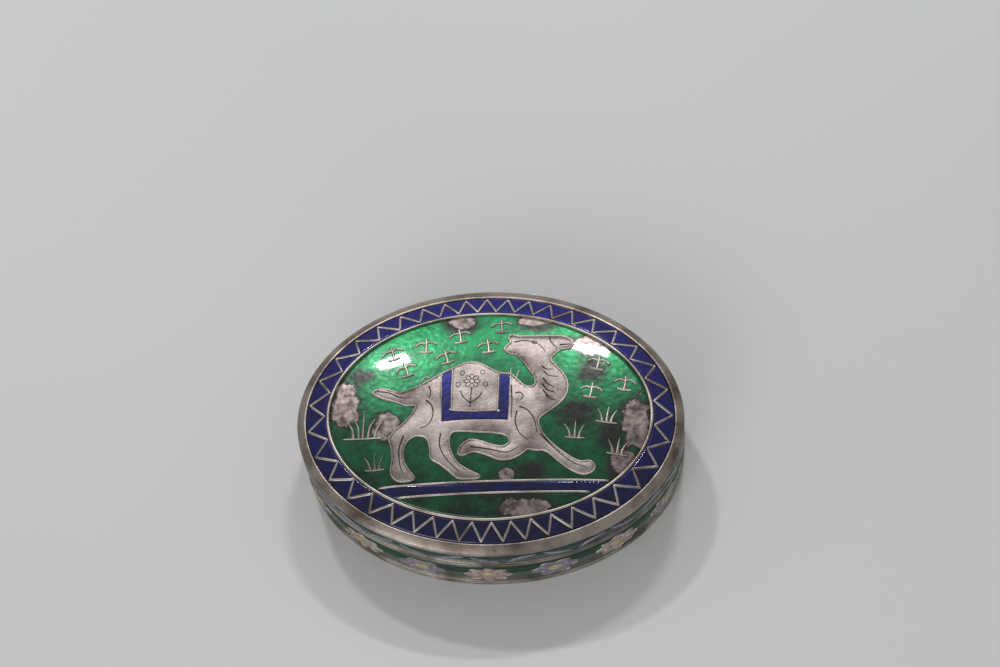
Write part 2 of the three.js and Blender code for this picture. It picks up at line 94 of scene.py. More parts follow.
BORDER_RISE = 1.7
DOME_RISE = 2.2
DOME_ROUNDNESS = 2.4
BEZEL_Z = RIM_HIGH.z + BORDER_RISE
# The lid plate's two faces lie this far below the dome's surface.
PLATE_TOP_DEPTH = 0.8
PLATE_UNDER_DEPTH = 1.5
# Enamel lies this far below the metal that holds it, and on the lid it reaches this deep.
ENAMEL_SINK = 0.06
ENAMEL_DEPTH = 0.75

EDGE_SOFTNESS = 0.12
HINGE_SOFTNESS = 0.08

# How finely curved shapes are divided

ROUND_STEPS = 240
PLATE_RINGS = 24
BORDER_RINGS = 10
FIELD_RINGS = 40
BEZEL_STEPS = 8
LOBE_STEPS = 10
WALL_STEPS = 2880
RING_HALVINGS = 24
# Points closer than this are one, in metres in a mesh and in millimetres in a plan.
WELD_DISTANCE = 1e-7
PLAN_WELD = 1e-5

# Sizes of the wires and inlays

WIRE_WIDTH = 0.5
WIRE_PROUD = 0.16
WIRE_DEPTH = 0.35
# Where a wire's rounded top begins: shares of its width from the middle, and of its height.
WIRE_SHOULDER_OUT = 0.4
WIRE_SHOULDER_UP = 0.6

ZIGZAG_POINTS = 39
ZIGZAG_PHASE = 0.012
ZIGZAG_WIDTH = 0.62
ZIGZAG_INSET = 0.35
ZIGZAG_STEPS = 5
BORDER_MARGIN = 0.1

INLAY_DEPTH = 0.4
INLAY_SPACING = 0.7
CAMEL_RISE = 0.28
CAMEL_SHOULDER = 1.1
CLOTH_PROUD = 0.02
PANEL_PROUD = 0.05
GROUND_PROUD = 0.03
GROUND_MARGIN = 0.6
GROUND_STEP = 0.8

FLOWER_PLACES = 16
LILAC_LOBES = 6
PINK_LOBES = 8
HEART_LOBES = 8
FLOWER_HALF_LENGTH = 5.2
FLOWER_HALF_HEIGHT = 3.3
FLOWER_NOTCH = 0.24
FLOWER_SINK = 0.02
PETAL_RISE = 0.12
PETAL_EDGE = 0.8
HEART_HALF_LENGTH = 1.75
HEART_HALF_HEIGHT = 1.15
HEART_NOTCH = 0.06
HEART_BASE = 0.12
HEART_RISE = 0.16
# Half-sizes of the rings that the veins between the petals start and end on.
VEIN_ENDS = ((1.9, 1.2), (3.9, 2.5))

BAND_LEAVES = 30
# A leaf's start, bend and end. The heights of its ends are shares of the enamel's half-height.
LEAF_START = (-3.2, -0.62)
LEAF_BEND = (-1.0, 0.1)
LEAF_END = (2.9, 0.6)
LEAF_TIP_WIDTH = 0.25
LEAF_SWELL = 0.95
LEAF_SINK = 0.03
LEAF_RISE = 0.08
LEAF_EDGE = 0.3

# The picture is drawn for a medallion of this size.
DRAWN_X = 68.3
DRAWN_Y = 47.8
SCALE_X = 2 * MED_X / DRAWN_X
SCALE_Y = (2 * MED_Y - BEZEL_WIDTH) / DRAWN_Y

# The drawing

CAMEL = [
    (-24.8, 4.4), (-23.6, 5.3), (-21.9, 5.3), (-20.2, 4.6), (-18.2, 4.4), (-15.4, 5.5), (-12.6, 7.2),
    (-10.3, 8.7), (-7.9, 10.0), (-5.6, 11.2), (-3.4, 11.5), (-1.4, 10.8), (0.8, 9.5), (2.6, 8.8),
    (4.5, 8.6), (6.0, 7.1), (7.3, 5.9), (8.7, 5.5), (9.7, 6.3), (9.3, 8.1), (8.1, 10.1), (6.7, 12.0),
    (5.5, 13.4), (3.9, 13.8), (2.9, 14.8), (3.5, 16.0), (4.2, 16.6), (3.7, 17.8), (4.4, 18.6),
    (6.0, 18.3), (8.2, 18.3), (10.8, 18.4), (13.3, 18.5), (15.4, 18.5), (16.9, 17.5), (17.5, 16.4),
    (16.7, 15.4), (15.0, 15.0), (13.7, 13.8), (12.8, 12.4), (14.0, 10.7), (15.4, 9.1), (16.4, 7.1),
    (16.5, 4.9), (15.7, 2.8), (13.9, 0.8), (11.9, -0.8), (10.6, -2.3), (10.9, -4.2), (12.2, -6.3),
    (14.4, -8.5), (17.0, -10.4), (19.4, -11.5), (21.4, -11.3), (22.4, -12.5), (21.7, -13.8),
    (19.9, -14.3), (17.3, -13.3), (14.7, -11.4), (12.3, -9.4), (10.2, -9.3), (8.4, -9.1), (7.1, -10.2),
    (5.0, -11.3), (2.5, -11.4), (0.0, -10.4), (-2.6, -9.7), (-4.8, -10.5), (-6.1, -10.1), (-5.3, -8.2),
    (-3.6, -7.0), (-1.5, -7.3), (0.9, -8.1), (3.2, -8.5), (4.6, -7.5), (3.9, -6.0), (1.8, -5.4),
    (-2.0, -5.2), (-5.8, -5.0), (-7.6, -5.5), (-8.0, -7.6), (-7.3, -10.2), (-5.7, -12.6), (-3.2, -14.1),
    (-1.6, -14.9), (-1.5, -15.6), (-3.8, -15.7), (-6.0, -15.5), (-8.2, -13.7), (-10.1, -12.2),
    (-11.7, -11.2), (-12.0, -8.8), (-12.7, -6.7), (-14.5, -5.9), (-16.5, -6.9), (-17.5, -9.1),
    (-17.3, -11.8), (-16.0, -14.0), (-14.9, -15.5), (-16.4, -16.1), (-18.7, -15.9), (-20.0, -14.2),
    (-19.8, -11.0), (-20.2, -8.2), (-20.7, -6.4), (-19.1, -4.3), (-17.1, -2.3), (-15.6, 0.0),
    (-15.6, 1.2), (-17.6, 1.2), (-19.9, 2.2), (-22.4, 3.0),
]
CLOTH = [
    (-10.3, 13), (-10.3, 8), (-10.1, 3), (-9.9, -3), (-5, -2.6), (0, -2.5), (4.3, -2.6),
    (4.4, 3), (4.5, 13),
]
PANEL = [(-7.9, 13), (-7.9, 6), (-7.8, -0.1), (-3, -0.3), (1.9, -0.1), (1.95, 6), (2, 13)]
GROUND_TOP = [
    (-28, -18.1), (-20, -17.2), (-12, -16.75), (-3, -16.35), (8, -15.95),
    (18, -15.6), (30, -15.4),
]
GROUND_BOTTOM = [
    (-26, -20.1), (-20, -19.7), (-12, -19.25), (-3, -18.85), (8, -18.45),
    (18, -18.1), (28, -17.9),
]
# Each sprig's foot, and its lean in degrees.
SPRIGS = [
    (-20.6, 12.6, 16), (-13.9, 14.3, 0), (-17.4, 8.4, 18), (-9.0, 11.5, 17), (-6.5, 16.7, 9),
    (-0.4, 14.1, 8), (2.2, 19.3, 4), (22.5, 10.3, -12), (21.2, 3.4, -10), (28.3, 5.5, -8),
]
SPRIG_STEM = [(0, 0), (0.05, 1.6), (-0.05, 3.4)]
SPRIG_FOOT = [(-1.45, 0.1), (0, -0.05), (1.45, 0.1)]
SPRIG_ARMS = [(-2.3, 1.5), (-1.3, 2.25), (0, 2.3), (1.3, 2.5), (2.3, 1.8)]
SPROUTS = [
    [(-14.6, 6.6), (-13.6, 7.9), (-12.5, 7.7)], [(4.5, 8.8), (4.4, 9.5), (4.8, 10.1)],
    [(5.7, 7.6), (6.0, 8.9), (6.5, 9.6)],
]
SMALL_BLADES = [
    [(-0.9, 0), (-1.3, 1.4), (-2.2, 2.9)],
    [(0, 0), (0, 1.8), (0.1, 3.6)],
    [(0.9, 0), (1.1, 1.4), (1.9, 3.0)],
]
TALL_BLADES = [
    [(-2.0, 0), (-2.4, 2.2), (-3.9, 4.2)],
    [(-0.9, 0), (-1.1, 2.4), (-2.1, 4.4)],
    [(0, 0), (0, 2.8), (0.1, 5.6)],
    [(1.1, 0), (1.4, 2.4), (2.5, 4.3)],
    [(2.5, 0), (3.0, 2.2), (4.4, 4.1)],
]
# Each tuft's middle, its lean in degrees, the length of its foot, and its blades.
TUFTS = [
    (-26.3, -6.2, 0, 8.6, TALL_BLADES), (-23.4, -13.4, 3, 4.2, SMALL_BLADES),
    (18.1, -6.2, -2, 4.4, SMALL_BLADES), (24.7, -2.4, -6, 4.6, SMALL_BLADES),
    (26.9, -9.6, -7, 4.4, SMALL_BLADES),
]
# Cuts in the camel's silver.
ENGRAVED = [
    [(-13.2, 2.2), (-12.0, 1.0), (-11.6, -1.2), (-12.4, -3.4), (-14.2, -4.4)],
    [(-17.6, -6.0), (-18.4, -8.8), (-18.2, -12.0), (-17.4, -14.4)],
    [(-9.8, -5.6), (-9.9, -8.4), (-8.4, -11.4), (-5.6, -14.2)],
    [(6.5, 0.6), (8.0, 0.0), (9.3, -1.5), (10.0, -3.5), (10.2, -5.2)],
    [(6.0, -0.4), (5.7, -2.8), (6.6, -5.4), (8.4, -7.0)],
    [(5.6, 3.9), (6.6, 4.0), (7.2, 3.2), (6.7, 2.3)],
    [(11.0, -5.6), (13.6, -8.4), (17.4, -11.6), (20.6, -12.8)],
    [(-3.6, -8.6), (0.4, -9.2), (4.0, -9.9), (6.6, -8.6)],
    [(11.4, 9.2), (12.6, 8.2), (14.4, 8.0)],
    [(10.9, 10.6), (12.0, 9.8), (13.4, 9.9)],
    [(11.9, 3.4), (13.0, 2.6), (14.2, 2.3)],
    [(-12.8, 5.6), (-12.3, 4.2), (-12.6, 2.6)],
    [(4.6, 5.8), (4.9, 2.0), (4.8, -2.2)],
    [(12.4, 18.3), (12.7, 16.8), (14.0, 15.2)],
    [(5.0, 16.6), (7.6, 17.0), (10.2, 16.0), (11.6, 14.2)],
    [(14.6, 16.1), (16.0, 16.3), (17.0, 16.4)],
    [(-23.8, 4.7), (-21.4, 4.3), (-18.6, 3.0), (-16.4, 2.9)],
    [(11.3, 7.6), (12.3, 6.2), (13.8, 5.4)],
    [(11.1, 6.2), (12.2, 4.8), (13.9, 4.1)],
    [(11.3, 4.7), (12.3, 3.5), (13.6, 2.9)],
]
FLOWER_STEM = [
    [(-3.7, 5.4), (-3.8, 3.0), (-3.9, 0.6)],
    [(-6.0, 4.5), (-5.4, 3.0), (-3.9, 1.6)],
    [(-1.5, 4.2), (-2.2, 2.9), (-3.8, 1.6)],
]
PANEL_FLOWER = (-3.7, 6.8)
PANEL_BUDS = [(-6.6, 6.0), (-0.8, 6.1), (-5.8, 8.8), (-1.5, 9.0)]
BUD_HALF_SIZE = (0.45, 0.55)
EYE = (9.2, 16.6)
EYE_HALF_SIZE = (0.5, 0.36)

# Places where the enamel is lost: middle and half-size.
LOST_ENAMEL = [
    (-30.4, 2.2, 3.2, 5.6), (-21.4, -3.8, 3.2, 3.2), (-6.3, 21.8, 2.6, 1.8), (9.2, 22.2, 4.0, 1.4),
    (22.0, 16.2, 5.4, 2.6), (31.0, -2.8, 3.2, 6.4), (28.4, -11.4, 3.4, 3.4), (8.2, -21.4, 6.0, 2.0),
    (4.3, -14.4, 2.0, 1.4),
]
# Places where the enamel is clouded black: middle and half-size.
DARK_ENAMEL = [
    (9.5, -13.4, 3.4, 2.4), (18.6, -0.6, 4.6, 3.6), (6.0, -18.8, 6.0, 1.4), (21.6, 10.2, 3.6, 3.8),
    (-27.6, 8.6, 3.6, 2.2), (26.0, -5.0, 3.4, 4.6), (-6.2, 21.0, 5.0, 2.6), (9.4, 21.2, 5.4, 2.4),
]


# Curved surfaces

def ring_half_width(r):
    """Half-width of the oval ring of half-length r."""
    if r >= MED_X:
        return r - OVAL_GAP
    return r * MED_Y / MED_X


def ring_through(x, y):
    """Half-length of the oval ring that a point of the plan lies on."""
    inner = math.hypot(x, y * MED_X / MED_Y)
    if inner <= MED_X:
        return inner
    low, high = MED_X, HALF_X + WALL_THICKNESS
    for _ in range(RING_HALVINGS):
        r = (low + high) / 2
        if (x / r) ** 2 + (y / (r - OVAL_GAP)) ** 2 < 1:
            high = r
        else:
            low = r
    return (low + high) / 2


def dome(r):
    """Height of the lid's surface on the ring of half-length r."""
    if r >= RIM_INNER:
        return RIM_HIGH.z - (RIM_HIGH.z - RIM_EDGE_TOP) * (r - RIM_INNER) / RIM_WIDTH
    if r >= MED_X:
        across = (RIM_INNER - r) / (RIM_INNER - MED_X)
        return RIM_HIGH.z + BORDER_RISE * math.sin(across * math.pi / 4) * math.sqrt(2)
    return BEZEL_Z + DOME_RISE * (1 - (r / MED_X) ** DOME_ROUNDNESS)


def on_lid(x, y, height):
    return (x, y, dome(ring_through(x, y)) + height)


def wall_angles():
    """Angles round the wall from the middle of its front, and the distance along it to each."""
    angles = [-math.pi / 2 + 2 * math.pi * i / WALL_STEPS for i in range(WALL_STEPS + 1)]
    run = [0.0]
    for a, b in zip(angles, angles[1:]):
        step = math.hypot(HALF_X * (math.cos(b) - math.cos(a)), HALF_Y * (math.sin(b) - math.sin(a)))
        run.append(run[-1] + step)
    return angles, run


WALL_ANGLES, WALL_RUN = wall_angles()
WALL_LENGTH = WALL_RUN[-1]


def on_wall(along, z, height):
    """A point at a distance along the wall from the middle of its front, standing out by height."""
    along %= WALL_LENGTH
    low, high = 0, len(WALL_RUN) - 1
    while high - low > 1:
        middle = (low + high) // 2
        if WALL_RUN[middle] <= along:
            low = middle
        else:
            high = middle
    share = (along - WALL_RUN[low]) / (WALL_RUN[high] - WALL_RUN[low])
    angle = WALL_ANGLES[low] + share * (WALL_ANGLES[high] - WALL_ANGLES[low])
    out = Vector((HALF_Y * math.cos(angle), HALF_X * math.sin(angle))).normalized()
    return (HALF_X * math.cos(angle) + out.x * height, HALF_Y * math.sin(angle) + out.y * height, z)


# Mesh making

def make_piece(name, parts, material, body, nodes=(), soften=0.0):
    """One object from a list of (points in mm, faces) parts."""
    points = []
    faces = []
    for part_points, part_faces in parts:
        start = len(points)
        points += [Vector(p) * MM for p in part_points]
        faces += [[start + i for i in face] for face in part_faces]
    mesh = bpy.data.meshes.new(name)
    mesh.from_pydata(points, [], faces)
    work = bmesh.new()
    work.from_mesh(mesh)
    bmesh.ops.remove_doubles(work, verts=work.verts, dist=WELD_DISTANCE)
    bmesh.ops.recalc_face_normals(work, faces=work.faces)
    work.to_mesh(mesh)
    work.free()
    mesh.shade_smooth()
    piece = bpy.data.objects.new(name, mesh)
    bpy.context.scene.collection.objects.link(piece)
    piece.data.materials.append(material)
    if soften:
        add_soft_edges(piece, soften)
    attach(piece, body)
    if nodes:
        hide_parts(*nodes)
    return piece


def add_soft_edges(piece, width):
    bevel = piece.modifiers.new("soft_edges", "BEVEL")
    bevel.width = width * MM
    bevel.segments = 3
    bevel.limit_method = "ANGLE"
    bevel.angle_limit = math.radians(30)
    bevel.harden_normals = True


def turned(profile):
    """A closed profile of (half-length, height) pairs, taken round the oval."""
    points = []
    faces = []
    size = len(profile)
    for i in range(ROUND_STEPS):
        angle = 2 * math.pi * i / ROUND_STEPS
        for r, z in profile:
            points.append((r * math.cos(angle), ring_half_width(r) * math.sin(angle), z))
        after = (i + 1) % ROUND_STEPS
        for j in range(size):
            k = (j + 1) % size
            faces.append((i * size + j, after * size + j, after * size + k, i * size + k))
    return points, faces


def dome_profile(inner, outer, above, below, rings):
    """The profile of a skin that follows the dome."""
    stations = [inner + (outer - inner) * i / rings for i in range(rings + 1)]
    top = [(r, dome(r) + above) for r in stations]
    bottom = [(r, dome(r) - below) for r in reversed(stations)]
    return top + bottom


def spline(points, steps=6, closed=False):
    """A smooth line through the points."""
    count = len(points)
    spans = count if closed else count - 1
    line = []
    for i in range(spans):
        ends = [i - 1, i, i + 1, i + 2]
        if closed:
            ends = [e % count for e in ends]
        else:
            ends = [min(max(e, 0), count - 1) for e in ends]
        a, b, c, d = [Vector(points[e]) for e in ends]
        for k in range(steps):
            t = k / steps
            line.append(0.5 * (2 * b + (c - a) * t + (2 * a - 5 * b + 4 * c - d) * t * t
                               + (3 * b - a - 3 * c + d) * t ** 3))
    if not closed:
        line.append(Vector(points[-1]))
    return [(p.x, p.y) for p in line]


def ribbon(line, width, proud, place, closed=False, tips=(1, 1), depth=WIRE_DEPTH):
    """A wire with a rounded top along a line of the plan. tips scales its width at either end."""
    count = len(line)
    shoulder = proud * WIRE_SHOULDER_UP
    section = ((-0.5, -depth), (-WIRE_SHOULDER_OUT, shoulder), (0, proud),
               (WIRE_SHOULDER_OUT, shoulder), (0.5, -depth))
    points = []
    faces = []
    for i, here in enumerate(line):
        before = line[(i - 1) % count] if closed else line[max(i - 1, 0)]
        after = line[(i + 1) % count] if closed else line[min(i + 1, count - 1)]
        along = (Vector(after) - Vector(before)).normalized()
        share = i / (count - 1)
        across = width * (tips[0] + (tips[1] - tips[0]) * share)
        for side, height in section:
            x = here[0] - along.y * side * across
            y = here[1] + along.x * side * across
            points.append(place(x, y, height))
    size = len(section)
    for i in range(count if closed else count - 1):
        after = (i + 1) % count
        for j in range(size):
            k = (j + 1) % size
            faces.append((i * size + j, i * size + k, after * size + k, after * size + j))
    if not closed:
        faces.append(tuple(range(size)))
        faces.append(tuple(reversed(range((count - 1) * size, count * size))))
    return points, faces


def inside(outline, x, y):
    within = False
    previous = outline[-1]
    for here in outline:
        if (here[1] > y) != (previous[1] > y):
            cross = here[0] + (y - here[1]) * (previous[0] - here[0]) / (previous[1] - here[1])
            if x < cross:
                within = not within
        previous = here
    return within


def edge_distance(outline, x, y):
    best = math.inf
    here = Vector((x, y))
    for a, b in zip(outline, outline[1:] + outline[:1]):
        start = Vector(a)
        run = Vector(b) - start
        share = max(0, min(1, (here - start).dot(run) / max(run.length_squared, 1e-9)))
        best = min(best, (start + run * share - here).length)
    return best


def slab(outlines, keep, place, top, depth, spacing):
    """A closed sheet over the plan, where keep is true of a triangle's middle. top gives its height."""
    points = []
    edges = []
    for outline in outlines:
        start = len(points)
        points += [Vector(p) for p in outline]
        edges += [(start + i, start + (i + 1) % len(outline)) for i in range(len(outline))]
    low_x, high_x = min(p.x for p in points), max(p.x for p in points)
    low_y, high_y = min(p.y for p in points), max(p.y for p in points)
    for i in range(1, int((high_x - low_x) / spacing)):
        for j in range(1, int((high_y - low_y) / spacing)):
            shift = 0.5 * spacing * (j % 2)
            points.append(Vector((low_x + i * spacing + shift, low_y + j * spacing)))
    flat, _, triangles, *_ = delaunay_2d_cdt(points, edges, [], 0, PLAN_WELD)
    kept = []
    for face in triangles:
        middle = sum((flat[i] for i in face), Vector((0, 0))) / len(face)
        if keep(middle.x, middle.y):
            kept.append(tuple(face))
    used = sorted({i for face in kept for i in face})
    index = {old: new for new, old in enumerate(used)}
    count = len(used)
    upper = [place(flat[i].x, flat[i].y, top(flat[i].x, flat[i].y)) for i in used]
    lower = [place(flat[i].x, flat[i].y, -depth) for i in used]
    kept = [tuple(index[i] for i in face) for face in kept]
    sides = {(face[i], face[(i + 1) % len(face)]) for face in kept for i in range(len(face))}
    faces = list(kept)
    faces += [tuple(count + i for i in reversed(face)) for face in kept]
    faces += [(b, a, count + a, count + b) for a, b in sides if (b, a) not in sides]
    return upper + lower, faces


# Materials

def node(tree, kind, inputs=None, **settings):
    made = tree.nodes.new(kind)
    for key, value in settings.items():
        setattr(made, key, value)
    for key, value in (inputs or {}).items():
        if isinstance(value, bpy.types.NodeSocket):
            tree.links.new(value, made.inputs[key])
        else:
            made.inputs[key].default_value = value
    return made


def new_material(name, **sockets):
    """A material, its node tree and its shader, with the named sockets of the shader set."""
    material = bpy.data.materials.new(name)
    material.use_nodes = True
    shader = material.node_tree.nodes["Principled BSDF"]
    for key, value in sockets.items():
        shader.inputs[key.replace("_", " ").title()].default_value = value
    return material, material.node_tree, shader


def place_of(tree):
    return node(tree, "ShaderNodeTexCoord").outputs["Object"]


def clouds(tree, scale, detail=3.0, roughness=0.55):
    made = node(tree, "ShaderNodeTexNoise", {"Vector": place_of(tree), "Scale": scale,
                                             "Detail": detail, "Roughness": roughness})
    return made.outputs["Fac"]


def combined(tree, operation, a, b):
    return node(tree, "ShaderNodeMath", {0: a, 1: b}, operation=operation).outputs[0]


def ramp(tree, factor, stops):
    made = node(tree, "ShaderNodeValToRGB", {"Fac": factor})
    elements = made.color_ramp.elements
    while len(elements) < len(stops):
        elements.new(0.5)
    for element, (position, colour) in zip(elements, stops):
        element.position = position
        element.color = (*colour, 1)
    return made.outputs["Color"]


def between(tree, factor, low, high):
    made = node(tree, "ShaderNodeMapRange", {"Value": factor, "To Min": low, "To Max": high})
    return made.outputs["Result"]


def fading(tree, distance, full, none):
    """1 up to the distance called full, falling to 0 at the one called none."""
    made = node(tree, "ShaderNodeMapRange", {"Value": distance, "From Min": full, "From Max": none,
                                             "To Min": 1.0, "To Max": 0.0})
    return made.outputs["Result"]


def bump(tree, height, strength, distance_mm):
    made = node(tree, "ShaderNodeBump", {"Height": height, "Strength": strength,
                                         "Distance": distance_mm * MM})
    return made.outputs["Normal"]


def mixed_colour(tree, factor, below, above):
    made = node(tree, "ShaderNodeMix", data_type="RGBA")
    colours = [socket for socket in made.inputs if socket.type == "RGBA"]
    factors = [socket for socket in made.inputs if socket.name == "Factor" and socket.type == "VALUE"]
    tree.links.new(factor, factors[0])
    tree.links.new(below, colours[0])
    tree.links.new(above, colours[1])
    return [socket for socket in made.outputs if socket.type == "RGBA"][0]


def patch_distance(tree, patches):
    """0 in the middle of a patch and about 1 at its ragged edge."""
    place = place_of(tree)
    nearest = None
    for x, y, half_x, half_y in patches:
        shifted = node(tree, "ShaderNodeVectorMath", {0: place, 1: (x * MM, y * MM, 0)},
                       operation="SUBTRACT").outputs[0]
        scaled = node(tree, "ShaderNodeVectorMath", {0: shifted, 1: (half_x * MM, half_y * MM, 1)},
                      operation="DIVIDE").outputs[0]
        far = node(tree, "ShaderNodeVectorMath", {0: scaled}, operation="LENGTH").outputs["Value"]
        nearest = far if nearest is None else combined(tree, "MINIMUM", nearest, far)
    ragged = between(tree, clouds(tree, scale=430, detail=4, roughness=0.6), low=-0.75, high=0.75)
    return combined(tree, "ADD", nearest, ragged)


def silver_material(name, bright, tarnish, roughness=0.3, dents=0.5):
    """Worn silver: cloudy tarnish, uneven polish and small dents."""
    material, tree, shader = new_material(name, metallic=1.0)
    stain = clouds(tree, scale=140, detail=5)
    grain = clouds(tree, scale=1700, detail=4)
    tree.links.new(ramp(tree, stain, [(0.34, tarnish), (0.58, bright)]), shader.inputs["Base Color"])
    rough = between(tree, grain, low=roughness - 0.1, high=roughness + 0.16)
    tree.links.new(rough, shader.inputs["Roughness"])
    uneven = combined(tree, "ADD", grain, clouds(tree, scale=420, detail=2))
    tree.links.new(bump(tree, uneven, strength=dents, distance_mm=0.06), shader.inputs["Normal"])
    return material


SOOT = [(0.3, (0.006, 0.007, 0.006)), (0.7, (0.020, 0.024, 0.018))]
BARE_SILVER = [(0.34, (0.07, 0.05, 0.045)), (0.62, (0.36, 0.28, 0.26))]


def worn(tree, colour, patches):
    """The colour, blackened in places and in a rim round the patches, where bare silver shows."""
    soot = ramp(tree, clouds(tree, scale=800), SOOT)
    bare = ramp(tree, clouds(tree, scale=650, detail=5), BARE_SILVER)
    distance = patch_distance(tree, patches)
    clouded = fading(tree, patch_distance(tree, DARK_ENAMEL), full=0.5, none=1.3)
    halo = fading(tree, distance, full=0.95, none=1.35)
    blackened = mixed_colour(tree, combined(tree, "MAXIMUM", clouded, halo), colour, soot)
    return mixed_colour(tree, fading(tree, distance, full=0.86, none=0.94), blackened, bare)


def enamel_material(name, dark, light, patches=()):
    """Glossy translucent enamel over hammered silver, with painted light that brightens it towards the
    hinge, lost in the patches.
    """
    material, tree, shader = new_material(name, metallic=0.55, coat_weight=0.6, coat_roughness=0.05)
    along_y = node(tree, "ShaderNodeSeparateXYZ", {"Vector": place_of(tree)}).outputs["Y"]
    # Painted light: the enamel's colour grows brighter towards the hinge, at the back of the box.
    painted_light_towards_hinge = node(tree, "ShaderNodeMapRange", {"Value": along_y, "From Min": -HALF_Y * MM,
                                            "From Max": HALF_Y * MM}).outputs["Result"]
    cloudy = between(tree, clouds(tree, scale=230, detail=6, roughness=0.7), low=-0.6, high=0.9)
    factor = combined(tree, "MULTIPLY", combined(tree, "ADD", painted_light_towards_hinge, cloudy), 0.6)
    middle = tuple((a * 2 + b) / 3 for a, b in zip(dark, light))
    colour = ramp(tree, factor, [(0.12, dark), (0.45, middle), (0.85, light)])
    if patches:
        colour = worn(tree, colour, patches)
    tree.links.new(colour, shader.inputs["Base Color"])
    tree.links.new(between(tree, clouds(tree, scale=900), low=0.2, high=0.45), shader.inputs["Roughness"])
    hammered = node(tree, "ShaderNodeTexVoronoi", {"Vector": place_of(tree), "Scale": 900.0},
                    feature="SMOOTH_F1").outputs["Distance"]
    tree.links.new(bump(tree, hammered, strength=0.35, distance_mm=0.12), shader.inputs["Normal"])
    ripples = clouds(tree, scale=300, detail=2)
    tree.links.new(bump(tree, ripples, strength=0.12, distance_mm=0.1), shader.inputs["Coat Normal"])
    return material


def opaque_enamel(name, dark, light):
    material, tree, shader = new_material(name, coat_weight=0.6, coat_roughness=0.12)
    mottled = clouds(tree, scale=700, detail=4, roughness=0.6)
    tree.links.new(ramp(tree, mottled, [(0.32, dark), (0.62, light)]), shader.inputs["Base Color"])
    tree.links.new(between(tree, mottled, low=0.3, high=0.55), shader.inputs["Roughness"])
    tree.links.new(bump(tree, mottled, strength=0.35, distance_mm=0.08), shader.inputs["Normal"])
    return material


SILVER = silver_material("silver", (0.46, 0.41, 0.36), (0.15, 0.12, 0.09))
RIM_SILVER = silver_material("rim_silver", (0.42, 0.36, 0.31), (0.16, 0.12, 0.095))
INNER_SILVER = silver_material("inner_silver", (0.60, 0.54, 0.45), (0.34, 0.27, 0.19),
                               roughness=0.34, dents=0.25)
FIGURE_SILVER = silver_material("figure_silver", (0.47, 0.40, 0.38), (0.17, 0.135, 0.125),
                                roughness=0.5, dents=0.8)
WIRE_SILVER = silver_material("wire_silver", (0.50, 0.45, 0.40), (0.22, 0.18, 0.15),
                              roughness=0.36, dents=0.4)
ENGRAVED_SILVER = silver_material("engraved_silver", (0.07, 0.055, 0.05), (0.03, 0.022, 0.02),
                                  roughness=0.55, dents=0.3)
GREEN = enamel_material("green_enamel", (0.001, 0.018, 0.008), (0.005, 0.32, 0.10), LOST_ENAMEL)
WALL_GREEN = enamel_material("wall_green_enamel", (0.004, 0.035, 0.018), (0.018, 0.17, 0.075))
BLUE = enamel_material("blue_enamel", (0.002, 0.002, 0.035), (0.008, 0.007, 0.24))
PINK = opaque_enamel("pink_enamel", (0.22, 0.14, 0.12), (0.46, 0.35, 0.31))
LILAC = opaque_enamel("lilac_enamel", (0.09, 0.08, 0.13), (0.24, 0.22, 0.31))
YELLOW = opaque_enamel("yellow_enamel", (0.26, 0.20, 0.06), (0.48, 0.41, 0.17))


# Lines of the drawing

def turn_steps(count):
    return [2 * math.pi * i / count for i in range(count)]


def on_ring(r, angle):
    """The point of an oval ring seen from its middle at this angle."""
    half_y = r - OVAL_GAP
    reach = r * half_y / math.hypot(half_y * math.cos(angle), r * math.sin(angle))
    return reach * math.cos(angle), reach * math.sin(angle)


def stretched_on_ring(r, angle):
    """The point of a circle at this angle, once the circle is stretched to the oval ring."""
    return r * math.cos(angle), ring_half_width(r) * math.sin(angle)


def mix(a, b, share):
    return a[0] + (b[0] - a[0]) * share, a[1] + (b[1] - a[1]) * share


def fitted(points):
    """From the drawing to the medallion."""
    return [(x * SCALE_X, y * SCALE_Y) for x, y in points]


def placed(points, x, y, lean):
    turn = math.radians(lean)
    middle = fitted([(x, y)])[0]
    return [(middle[0] + px * math.cos(turn) - py * math.sin(turn),
             middle[1] + px * math.sin(turn) + py * math.cos(turn)) for px, py in points]


def runs_inside(line, outline):
    """The stretches of a line that lie inside an outline."""
    runs = [[]]
    for point in line:
        if inside(outline, *point):
            runs[-1].append(point)
        elif runs[-1]:
            runs.append([])
    return [run for run in runs if len(run) > 2]


def fine_line(points, spacing=0.3):
    line = []
    for a, b in zip(points, points[1:]):
        steps = max(1, int((Vector(b) - Vector(a)).length / spacing))
        line += [mix(a, b, k / steps) for k in range(steps)]
    return line + [points[-1]]


def petal_loop(centre, angle, start, end, half_width):
    loop = []
    for a in turn_steps(12):
        along = (start + end) / 2 + (end - start) / 2 * math.cos(a)
        across = half_width * math.sin(a)
        loop.append((centre[0] + along * math.cos(angle) - across * math.sin(angle),
                     centre[1] + along * math.sin(angle) + across * math.cos(angle)))
    return loop


def flower_outline(lobes, half_length, half_height, depth):
    outline = []
    for angle in turn_steps(lobes * LOBE_STEPS):
        reach = 1 - depth * (1 - math.cos(lobes * angle)) / 2
        outline.append((half_length * reach * math.cos(angle), half_height * reach * math.sin(angle)))
    return outline


# Body

def channel(low, high, fill_low, fill_high, thickness):
    """The profile of a wall with a channel for enamel in its outer face."""
    inner = HALF_X - thickness
    floor = HALF_X - CHANNEL_DEPTH - JOINT_GAP
    return [
        (inner, low), (HALF_X, low), (HALF_X, fill_low - JOINT_GAP), (floor, fill_low - JOINT_GAP),
        (floor, fill_high + JOINT_GAP), (HALF_X, fill_high + JOINT_GAP), (HALF_X, high), (inner, high),
    ]


def filled(low, high):
    """The profile of the enamel in a channel."""
    outer = HALF_X - ENAMEL_SINK
    inner = HALF_X - CHANNEL_DEPTH
    return [(inner, low), (outer, low), (outer, high), (inner, high)]


